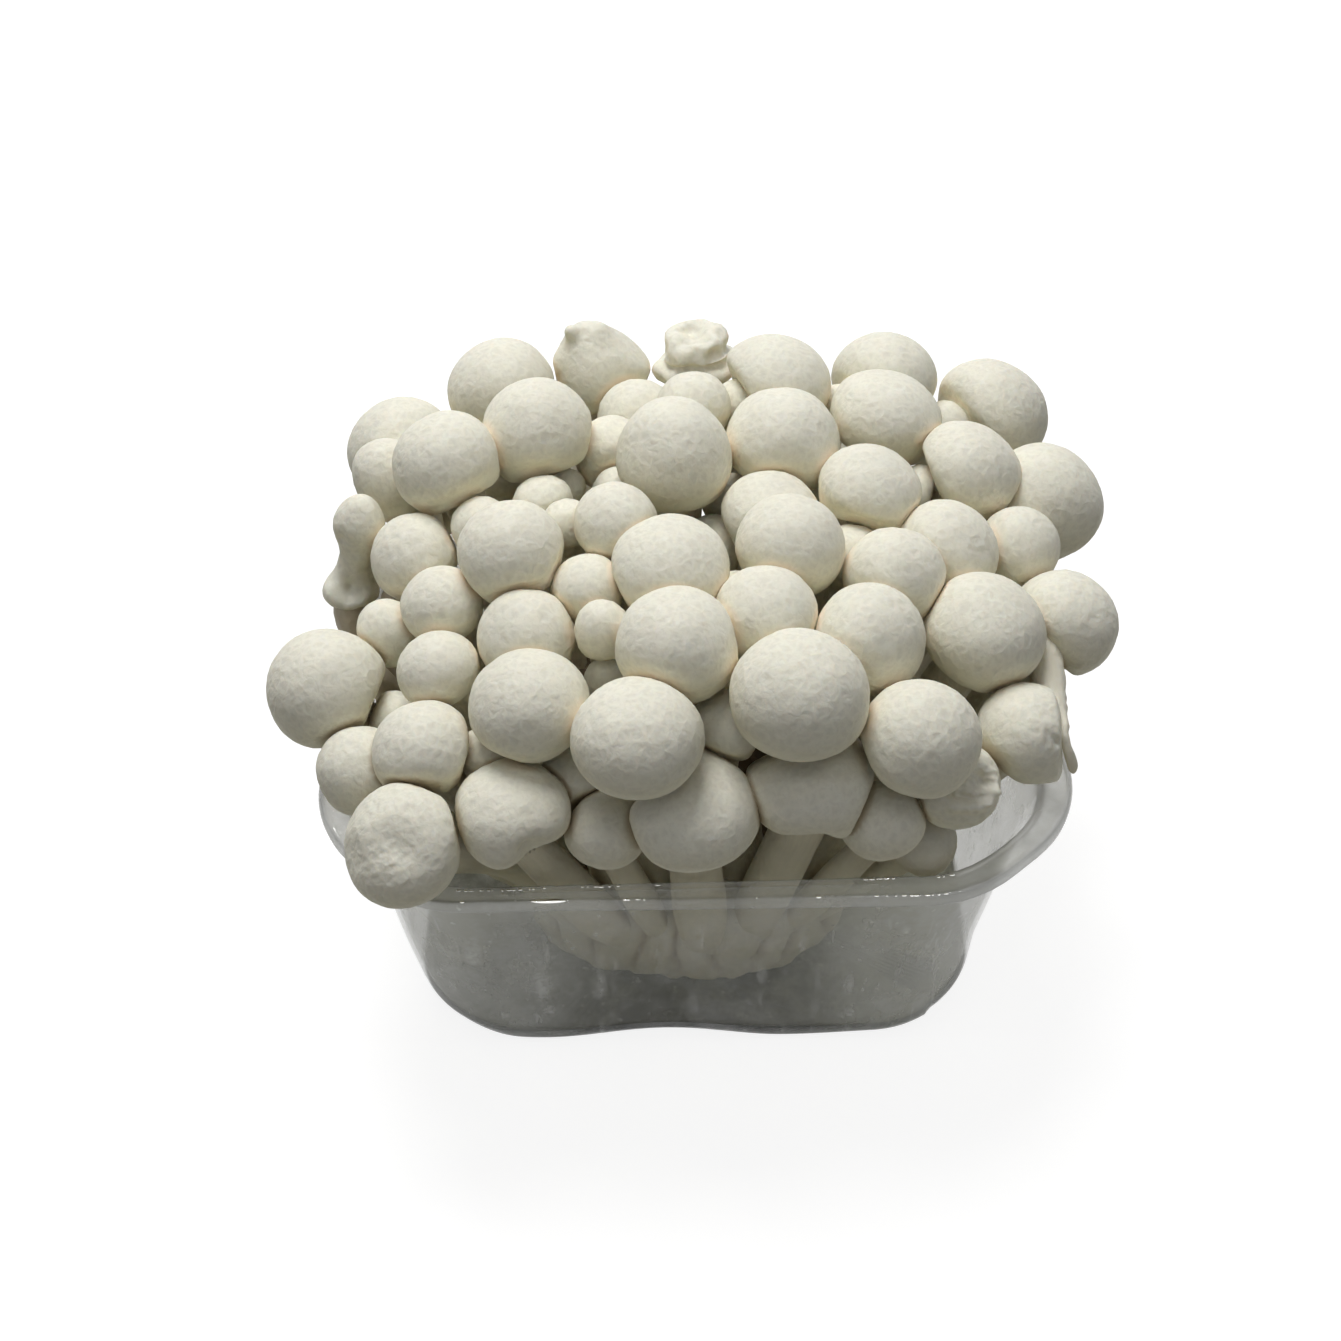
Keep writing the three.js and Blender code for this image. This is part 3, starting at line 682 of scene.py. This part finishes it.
def tube(bm, stations):
    """A closed tube through places with a radius each."""
    places = [Vector(place) * MM for place, _ in stations]
    loops = []
    for k, (_, radius) in enumerate(stations):
        direction = places[min(k + 1, len(places) - 1)] - places[max(k - 1, 0)]
        turn = direction.to_track_quat("Z", "Y").to_matrix().to_4x4()
        ring = bmesh.ops.create_circle(
            bm, segments=TUBE_SIDES, radius=radius * MM, matrix=Matrix.Translation(places[k]) @ turn,
            cap_ends=False)
        loops.append(edges_of(ring["verts"]))
    skin_over(bm, loops)


def make_bare_stems(material):
    """The shrivelled mushroom that hangs down at one side, and the stems that close the other."""
    for name, lines, gap in (("shrivelled_mushroom", [TAIL], 0.0), ("side_stems", BARE_STEMS, SIDE_STEM_SHADE)):
        bm = bmesh.new()
        for stations in lines:
            tube(bm, stations)
        bmesh.ops.recalc_face_normals(bm, faces=bm.faces[:])
        piece = new_piece(name, bm, material, "mushroom_flesh")
        round_off(piece, 2)
        gap_shades, = attribute_data(piece.data, "gap")
        for k, vert in enumerate(piece.data.vertices):
            here = vert.co / MM
            # painted shade: none on the shrivelled mushroom, a fixed share on the side stems
            gap_shades[k].value = gap
            wander = noise.noise_vector(Vector((here.x, here.y, 0.4 * here.z)) / STRAND_SIZE)
            vert.co += wander * BARE_STEM_RELIEF * MM
        piece.data.update()


# --- growing block -----------------------------------------------------------------------------------

def make_block():
    """The fused foot of the bunch, softened, with the felt of mycelium as a fine uneven relief."""
    material = flesh_material("fused_foot", *FLESH_COLOURS)
    bm = solid_corners("growing_block")
    piece = new_piece("growing_block_flesh", bm, material, "growing_block", "growing_block")
    round_off(piece, 1)
    mesh = piece.data
    tree = surface_tree([NODES[name] for name in MUSHROOMS])
    caps, gap_shades, strands = attribute_data(mesh, "cap", "gap", "strand")
    normals = vertex_normals(mesh)
    for k, vert in enumerate(mesh.vertices):
        here = vert.co / MM
        caps[k].value = unit((here.z - BLOCK_CAPS[0]) / (BLOCK_CAPS[1] - BLOCK_CAPS[0]))
        # painted shade where the block faces the mushrooms closely
        gap_shades[k].value = closeness(tree, vert.co, normals[k])
        strands[k].vector = strand_place(*vert.co)
        vert.co += normals[k] * MM * (FELT_DEPTH * noise.noise(here / FELT_SIZE) - FELT_INSET)
    mesh.update()


def stack_of_rings(section):
    """A closed rounded body from heights and half-widths."""
    bm = bmesh.new()
    loops = []
    for height, half_x, half_y in section:
        ring = bmesh.ops.create_circle(bm, segments=FOOT_SIDES, radius=1.0, cap_ends=False)
        for vert in ring["verts"]:
            x, y = vert.co.x, vert.co.y
            reach = (abs(x) ** FOOT_POWER + abs(y) ** FOOT_POWER) ** (1 / FOOT_POWER)
            vert.co = Vector((half_x * x / reach + FOOT_MIDDLE, half_y * y / reach, height)) * MM
        loops.append(edges_of(ring["verts"]))
    skin_over(bm, loops)
    bmesh.ops.recalc_face_normals(bm, faces=bm.faces[:])
    return bm


def make_foot():
    """The rounded foot where the stems have fused, fluted by them with painted shade in its grooves, and
    above it the heart, painted dark as shade.
    """
    for name, section, finish, colours in (
        ("felted_foot", FOOT_SECTION, "felted_foot", FLESH_COLOURS),
        ("fused_heart", HEART_SECTION, "shaded_heart", PAINTED_HEART_SHADE),
    ):
        piece = new_piece(name, stack_of_rings(section), flesh_material(finish, *colours), "growing_block")
        round_off(piece, 2)
        mesh = piece.data
        _, gap_shades, strands = attribute_data(mesh, "cap", "gap", "strand")
        for k, vert in enumerate(mesh.vertices):
            here = vert.co / MM
            turn = math.atan2(here.y, here.x) * FOOT_FLUTES + 1.8 * noise.noise(here / 14)
            flute = (1 - abs(math.sin(turn))) ** 3 * unit((here.z - 4) / 9)
            # painted shade in the grooves between the fused stems
            gap_shades[k].value = flute
            strands[k].vector = strand_place(*vert.co)
            felted = sum(depth * noise.noise(here / size) for depth, size in FOOT_FELT)
            ragged = 1 + 1.2 * bell(here.z / 9)
            outward = Vector((here.x, here.y, 0)).normalized()
            vert.co += (felted * ragged - FLUTE_DEPTH * flute) * outward * MM
        mesh.update()


# --- tray --------------------------------------------------------------------------------------------

TRAY_HEIGHT = 56.0
RIM_HALF = (70.0, 55.0)
RIM_CORNER = 30.0
FLOOR_CORE = (34.0, 20.0)           # half-sizes of the straight part of the floor
TRAY_STEPS = 96
STRAIGHT_CUTS = 39                  # cuts along each straight wall

# Radius, height and density of the tray's section, from the flat underside over the rim to the flat inside.
TRAY_SECTION = [
    (15.5, 0.1, 0), (16.6, 0, 0), (17.6, 0.25, 0), (18.9, 1.2, 0.2), (19.9, 2.6, 0.3),
    (20.5, 4.4, 0.1), (20.9, 6.4, 0), (21.5, 15, 0), (22.2, 25, 0), (22.9, 35, 0),
    (23.6, 44, 0), (24.0, 50, 0), (24.35, 53, 0.1), (24.7, 54.4, 0.6), (25.4, 55.05, 0.2),
    (27.5, 55.1, 0), (28.7, 55.0, 0.1), (29.15, 54.5, 0.5), (29.2, 53.6, 0.3), (29.35, 53.05, 0.6),
    (29.7, 53.0, 0.8), (29.95, 53.3, 0.6), (30.0, 54.3, 0.2), (29.85, 55.3, 0.5), (29.35, 55.85, 0.9),
    (28.6, 56.0, 0.2), (27.4, 55.85, 0), (26.2, 55.9, 0), (25.2, 56.0, 0.2), (24.4, 55.8, 0.8),
    (23.75, 54.9, 0.9), (23.4, 53, 0.2), (23.1, 50, 0), (22.75, 44, 0), (22.05, 35, 0),
    (21.3, 25, 0), (20.6, 15, 0), (20.05, 6.8, 0), (19.6, 4.6, 0.1), (18.9, 3.2, 0.3),
    (18.0, 2.0, 0.2), (17.0, 1.25, 0), (15.5, 1.05, 0),
]


def tray_unevenness(place):
    """How far a point of the tray wanders from the true shape, in millimetres."""
    x, y, z = place
    rim = unit((z - 50) / 3)
    wall = unit((z - 4) / 12) * (1 - rim)
    slow = noise.noise_vector(place / 26)
    ripple = noise.noise(Vector((x, y, 0)) / 2.1)
    pressed = bell((x - 52) / 16, (y + 40) / 22) * wall
    corner = bell((abs(x) - 60) / 10, (y + 46) / 9)
    clipped = bell((x - 50) / 9, (y + 38) / 14, (z - 9) / 9)
    bulge, left_bulge = [bell((side * x - 70) / 8, (y + 22) / 12) for side in (1, -1)]
    inner = unit((y + 54.6) / 4.4) * unit((-35 - y) / 8)
    sag = 1.7 * inner * (0.6 + 0.4 * min(max(-x / 35, -1.0), 1.0))
    foot = bell(z / 5) * unit(-19.5 - y) * unit(46.5 - abs(x))
    wave = 0.6 - 0.6 * math.cos(2 * math.pi * (x + 33) / 50)
    lobes = 0.3 + 0.7 * (1 - math.cos(2 * math.pi * (min(x, 18.0) + 5) / 45))
    sideways = wall * 0.7 * slow.x - 1.5 * pressed - 1.5 * corner * (0.2 if x > 0 else -1)
    sideways += 0.9 * bulge - 0.6 * left_bulge - 1.1 * clipped
    back = wall * 0.7 * slow.y + 0.8 * pressed + 1.5 * corner - lobes * foot
    return Vector((sideways, back, rim * (0.11 * ripple + 0.3 * slow.z - sag) + wave * foot))


def make_tray(material):
    bm = bmesh.new()
    edge_layer = bm.verts.layers.float.new("edge")
    start = math.pi / TRAY_STEPS
    line = []
    for radius, height, density in TRAY_SECTION:
        vert = bm.verts.new((radius * MM * math.cos(start), radius * MM * math.sin(start), height * MM))
        vert[edge_layer] = density
        line.append(vert)
    edges = [bm.edges.new(pair) for pair in zip(line, line[1:])]
    bmesh.ops.spin(
        bm, geom=line + edges, cent=(0, 0, 0), axis=(0, 0, 1), angle=2 * math.pi, steps=TRAY_STEPS,
        use_merge=True)
    bmesh.ops.remove_doubles(bm, verts=bm.verts[:], dist=MERGE_WITHIN / 2 * MM)
    for vert in bm.verts:
        rise = vert.co.z / (TRAY_HEIGHT * MM)
        for k in (0, 1):
            core = FLOOR_CORE[k] + (RIM_HALF[k] - RIM_CORNER - FLOOR_CORE[k]) * rise
            vert.co[k] += math.copysign(core * MM, vert.co[k])
    long_edges = [e for e in bm.edges if e.calc_length() > 30 * MM]
    bmesh.ops.subdivide_edges(bm, edges=long_edges, cuts=STRAIGHT_CUTS, use_grid_fill=True)
    bmesh.ops.holes_fill(bm, edges=[e for e in bm.edges if e.is_boundary], sides=0)
    bmesh.ops.recalc_face_normals(bm, faces=bm.faces[:])
    piece = new_piece("tray_shell", bm, material, "clear_plastic", "clear_tray")
    round_off(piece, 1, limit=False)
    for vert in piece.data.vertices:
        vert.co += tray_unevenness(vert.co / MM) * MM
    piece.data.update()
    return piece


# Stretches of the rim's front, from one side to the other, where beads of water sit on its two edges as
# painted glints.
BEADED_OUTER = [(-42.6, -41.4, 1), (-13.8, -8.8, 4), (10.0, 11.0, 1), (21.2, 22.2, 1), (31.5, 45.5, 10)]
BEADED_INNER = [(-43.3, -27.2, 13), (-21.3, -13.8, 6), (-7.2, -6.2, 1), (29.8, 35.4, 6), (42.6, 46.0, 3)]
LONG_BEAD = (-26.5, 3.2)
OUTER_BEADS_RADIUS, INNER_BEADS_RADIUS, LONG_BEAD_RADIUS = 29.4, 24.9, 29.5
BEAD_LENGTHS, BEAD_WIDTHS, LONG_BEAD_WIDTH = (0.16, 0.55), (0.16, 0.3), 0.5
BEAD_FLATNESS = 0.6


def make_beads(tray):
    """Beads of water on the rim's edges, mirror-white as painted glints, set down on the tray's own surface.
    """
    tree = surface_tree([tray])
    generator = random.Random(SEED)
    bm = bmesh.new()
    beads = [(*LONG_BEAD, LONG_BEAD_WIDTH, LONG_BEAD_RADIUS)]
    for stretches, radius in ((BEADED_OUTER, OUTER_BEADS_RADIUS), (BEADED_INNER, INNER_BEADS_RADIUS)):
        for first, last, count in stretches:
            for k in range(count):
                x = first + (last - first) * (k + generator.uniform(0.2, 0.8)) / count
                beads.append((x, generator.uniform(*BEAD_LENGTHS), generator.uniform(*BEAD_WIDTHS), radius))
    for x, length, width, radius in beads:
        past_corner = max(abs(x) - (RIM_HALF[0] - RIM_CORNER), 0.0)
        y = RIM_CORNER - RIM_HALF[1] - math.sqrt(radius ** 2 - past_corner ** 2)
        spot = tree.find_nearest(Vector((x, y, TRAY_HEIGHT)) * MM)[0]
        matrix = Matrix.Translation(spot) @ Matrix.Diagonal((length, width, BEAD_FLATNESS * width, 1))
        bmesh.ops.create_icosphere(bm, subdivisions=3, radius=MM, matrix=matrix)
    material, tree, shader = new_material("bright_water")
    # painted glints: a white mirror finish that always shows bright
    fill(tree, shader, Metallic=1.0, Roughness=0.12, Base_Color=(1.0, 1.0, 0.97, 1))
    new_piece("rim_beads", bm, material, "clear_plastic")


# Sideways place, top, bottom and width of each run of felt and mist on the front wall, in millimetres.
WALL_RUNS = [
    (-1.0, 23.0, 8.0, 1.7), (12.4, 28.5, 20.0, 1.5), (-29.6, 38.0, 13.0, 2.4), (-18.4, 34.0, 14.0, 1.9),
    (-28.6, 14.0, 10.0, 2.0), (29.0, 26.0, 15.0, 1.6), (29.4, 12.0, 7.5, 1.8), (20.0, 38.0, 30.0, 1.0),
    (-42.0, 40.0, 26.0, 2.6), (38.5, 40.0, 36.0, 1.5),
]
RUN_WANDER_SIZE, RUN_WANDER = 5.0, 2.4

# Colours of the sheet: painted light high on the walls and painted shade low on them, painted shade in the
# middle of the front and in the floor, painted light towards the right end; where it is misted, where it is
# thick, and in its marks.
PAINTED_LIGHT_HIGH_TONE, PAINTED_SHADE_LOW_TONE = (0.92, 0.93, 0.8, 1), (0.66, 0.675, 0.56, 1)
PAINTED_SHADE_MIDDLE_TONE, PAINTED_SHADE_FLOOR_TONE = (0.15, 0.155, 0.13, 1), (0.3, 0.305, 0.27, 1)
PAINTED_LIGHT_RIGHT_TONE, MIST_TONE = (0.96, 0.97, 0.85, 1), (0.82, 0.835, 0.8, 1)
EDGE_TONE, MARK_TONE = (0.34, 0.345, 0.31, 1), (0.95, 0.95, 0.9, 1)
DENSEST = 0.96


def run_group():
    """A soft upright run on the wall, widest and densest at its lower end."""
    inputs = (("Across", 0.0), ("Middle", 0.0), ("Top", 20.0), ("Bottom", 8.0), ("Width", 1.5))
    group, given, result = new_group("wall_run", inputs, ("Mask",))
    place = split(group, coordinates(group))
    across = maths(group, "ABSOLUTE", maths(group, "SUBTRACT", given["Across"], given["Middle"]))
    across = maths(group, "DIVIDE", across, given["Width"])
    height = times(group, place["Z"], 1 / MM)
    length = maths(group, "SUBTRACT", given["Top"], given["Bottom"])
    along = maths(group, "DIVIDE", maths(group, "SUBTRACT", height, given["Bottom"]), length)
    reach = times(group, remap(group, along, 0.0, 0.16), remap(group, along, 1.0, 0.1))
    front = times(group, remap(group, across, 0.9, 0.1), remap(group, place["Y"], 0.0, -10 * MM))
    group.links.new(times(group, reach, front), result.inputs["Mask"])
    return group


def tray_marks(tree, place, x, height):
    """Where the walls carry specks, dried runs and the larger runs of felt and mist."""
    stretched = add(tree, "ShaderNodeMapping", Scale=(1, 1, 0.16), Vector=place)
    runs = remap(tree, noise_mask(tree, stretched.outputs[0], 3.4, 3.0, 0.6), 0.6, 0.74)
    runs = times(tree, runs, remap(tree, height, 46 * MM, 34 * MM))
    specks = remap(tree, noise_mask(tree, place, 2.2, 2.0), 0.68, 0.76, 0.0, 0.4)
    marks = maths(tree, "MAXIMUM", times(tree, runs, 0.5), specks)
    patchy = remap(tree, noise_mask(tree, place, 1.6, 3.0, 0.6), 0.3, 0.6, 0.15, 0.62)
    wander = maths(tree, "SUBTRACT", noise_mask(tree, place, RUN_WANDER_SIZE), 0.5)
    across = maths(tree, "ADD", times(tree, x, 1 / MM), times(tree, wander, RUN_WANDER))
    wall_run = run_group()
    for middle, top, bottom, width in WALL_RUNS:
        run = add(tree, "ShaderNodeGroup", node_tree=wall_run)
        fill(tree, run, Across=across, Middle=middle, Top=top, Bottom=bottom, Width=width)
        marks = maths(tree, "MAXIMUM", marks, times(tree, run.outputs["Mask"], patchy))
    return marks


def tray_material():
    """Thin clear plastic: greyed and misted, with painted light and shade in its tone, denser at the ends, in
    the floor and along the rim's edges.
    """
    material, tree, shader = new_material("clear_sheet")
    place = coordinates(tree)
    x, _, height = split(tree, place)
    sideways = maths(tree, "ABSOLUTE", x)
    central = remap(tree, sideways, 34 * MM, 10 * MM)
    edge = attribute(tree, "edge")
    mist = noise_mask(tree, place, 14.0, 6.0, 0.68)
    marks = tray_marks(tree, place, x, height)

    # painted light high on the walls and painted shade low down, in the middle of the front and in the floor
    tone = blend_colour(tree, remap(tree, height, 34 * MM, 5 * MM), PAINTED_LIGHT_HIGH_TONE, PAINTED_SHADE_LOW_TONE)
    for share, colour in (
        (times(tree, central, remap(tree, height, 22 * MM, 8 * MM)), PAINTED_SHADE_MIDDLE_TONE),
        (remap(tree, height, 4.5 * MM, 2.5 * MM, 0.0, 0.9), PAINTED_SHADE_FLOOR_TONE),
        (remap(tree, x, 20 * MM, 42 * MM, 0.0, 0.8), PAINTED_LIGHT_RIGHT_TONE),
        (remap(tree, mist, 0.4, 0.66, 0.0, 0.55), MIST_TONE),
        (edge, EDGE_TONE),
        (times(tree, marks, 0.9), MARK_TONE),
    ):
        tone = blend_colour(tree, share, tone, colour)

    ends = remap(tree, sideways, 4 * MM, 50 * MM, 0.0, 0.26)
    density = times(tree, ends, remap(tree, height, 30 * MM, 46 * MM, 1.0, 1.25))
    floor = remap(tree, height, 5 * MM, 2.2 * MM, 0.0, 0.66)
    for part in (
        times(tree, floor, remap(tree, central, 0.0, 1.0, 1.0, 1.25)),
        remap(tree, mist, 0.4, 0.68, 0.075, 0.19),
        times(tree, edge, 0.34),
        times(tree, marks, 0.36),
    ):
        density = maths(tree, "ADD", density, part)

    rim = remap(tree, height, 51 * MM, 53 * MM, 0.0, 0.5)
    ripple = noise_mask(tree, place, 2.6, 2.0)
    bump = add(tree, "ShaderNodeBump", Distance=0.12 * MM, Strength=rim, Height=ripple)
    fill(
        tree, shader, Base_Color=tone, Alpha=maths(tree, "MINIMUM", density, DENSEST),
        Roughness=remap(tree, mist, 0.3, 0.7, 0.05, 0.12), Normal=bump.outputs["Normal"], IOR=1.7,
        Specular_IOR_Level=remap(tree, height, 2 * MM, 7 * MM, 0.05, 1.0))
    return material


# --- stage: floor, light and camera ------------------------------------------------------------------

ROOM_LIGHT = 0.2                    # even light from all round, beside the softbox overhead
FLOOR_HALF, FLOOR_PAINT, FLOOR_GLOW = 4.0, (0.3, 0.3, 0.3, 1), 0.86
LIT_MIDDLE = (0, 0, 0.06)
SPOTS_X = (-0.52, -0.3, -0.1, 0.12, 0.34, 0.55)
CAMERA_TARGET = (-4.2, 6.2, 56)
CAMERA_RISE, CAMERA_ROLL = 42, -0.84
CAMERA_DISTANCE, CAMERA_LENS = 0.48, 65.6644


def seen_by_camera(tree):
    """1 for what the camera sees directly, in a mirror or through glass."""
    path = tree.nodes.new("ShaderNodeLightPath").outputs
    either = maths(tree, "MAXIMUM", path["Is Camera Ray"], path["Is Glossy Ray"])
    return maths(tree, "MAXIMUM", either, path["Is Transmission Ray"])


def make_floor():
    bm = bmesh.new()
    bmesh.ops.create_grid(bm, x_segments=1, y_segments=1, size=FLOOR_HALF)
    mesh = bpy.data.meshes.new("studio_floor")
    bm.to_mesh(mesh)
    bm.free()
    floor = bpy.data.objects.new("studio_floor", mesh)
    bpy.context.scene.collection.objects.link(floor)
    material, tree, _ = new_material("pale_floor")
    tree.nodes.clear()
    paint = add(tree, "ShaderNodeBsdfDiffuse", Color=FLOOR_PAINT)
    brightness = times(tree, seen_by_camera(tree), FLOOR_GLOW)
    glow = add(tree, "ShaderNodeEmission", Color=(1, 1, 1, 1), Strength=brightness)
    both = tree.nodes.new("ShaderNodeAddShader")
    for socket, part in zip(both.inputs, (paint, glow)):
        tree.links.new(part.outputs[0], socket)
    add(tree, "ShaderNodeOutputMaterial", Surface=both.outputs[0])
    mesh.materials.append(material)


def area_lamp(name, place, size, power, colour=(1, 1, 1)):
    """A round lamp that looks at the bunch."""
    lamp = bpy.data.lights.new(name, "AREA")
    lamp.shape = "DISK"
    lamp.size = size
    lamp.energy = power
    lamp.color = colour
    obj = bpy.data.objects.new(name, lamp)
    direction = Vector(LIT_MIDDLE) - Vector(place)
    obj.matrix_world = Matrix.Translation(place) @ direction.to_track_quat("-Z", "Y").to_matrix().to_4x4()
    bpy.context.scene.collection.objects.link(obj)


def make_light():
    world = bpy.data.worlds.new("soft_room")
    bpy.context.scene.world = world
    world.use_nodes = True
    tree = world.node_tree
    strength = maths(tree, "MULTIPLY_ADD", seen_by_camera(tree), 1 - ROOM_LIGHT, ROOM_LIGHT)
    fill(tree, tree.nodes["Background"], Strength=strength, Color=(1, 1, 1, 1))
    area_lamp("overhead_softbox", (-0.12, 0.3, 0.9), 0.5, 6.2, (1.0, 0.99, 0.96))
    for k, x in enumerate(SPOTS_X):
        area_lamp(f"rear_spot_{k + 1}", (x, 0.86, 0.42), 0.03, 0.1)
        area_lamp(f"ceiling_spot_{k + 1}", (x, -0.3, 0.98), 0.03, 0.1)


def make_camera():
    rise, roll = math.radians(CAMERA_RISE), math.radians(CAMERA_ROLL)
    back = Vector((0, -math.cos(rise), math.sin(rise)))
    right = Vector((1, 0, 0))
    up = back.cross(right)
    turned_right = right * math.cos(roll) + up * math.sin(roll)
    turned_up = up * math.cos(roll) - right * math.sin(roll)
    data = bpy.data.cameras.new("camera")
    data.sensor_width = 36
    data.lens = CAMERA_LENS
    data.clip_start = 0.01
    camera = bpy.data.objects.new("camera", data)
    turn = Matrix((turned_right, turned_up, back)).transposed().to_4x4()
    camera.matrix_world = Matrix.Translation(Vector(CAMERA_TARGET) * MM + back * CAMERA_DISTANCE) @ turn
    bpy.context.scene.collection.objects.link(camera)
    bpy.context.scene.camera = camera


# --- making ------------------------------------------------------------------------------------------

make_camera()
make_floor()
make_light()
bpy.context.scene.view_settings.view_transform = "Standard"
flesh = flesh_material("cream_flesh", *FLESH_COLOURS)
make_mushrooms(flesh)
make_bare_stems(flesh)
make_block()
make_foot()
make_beads(make_tray(tray_material()))
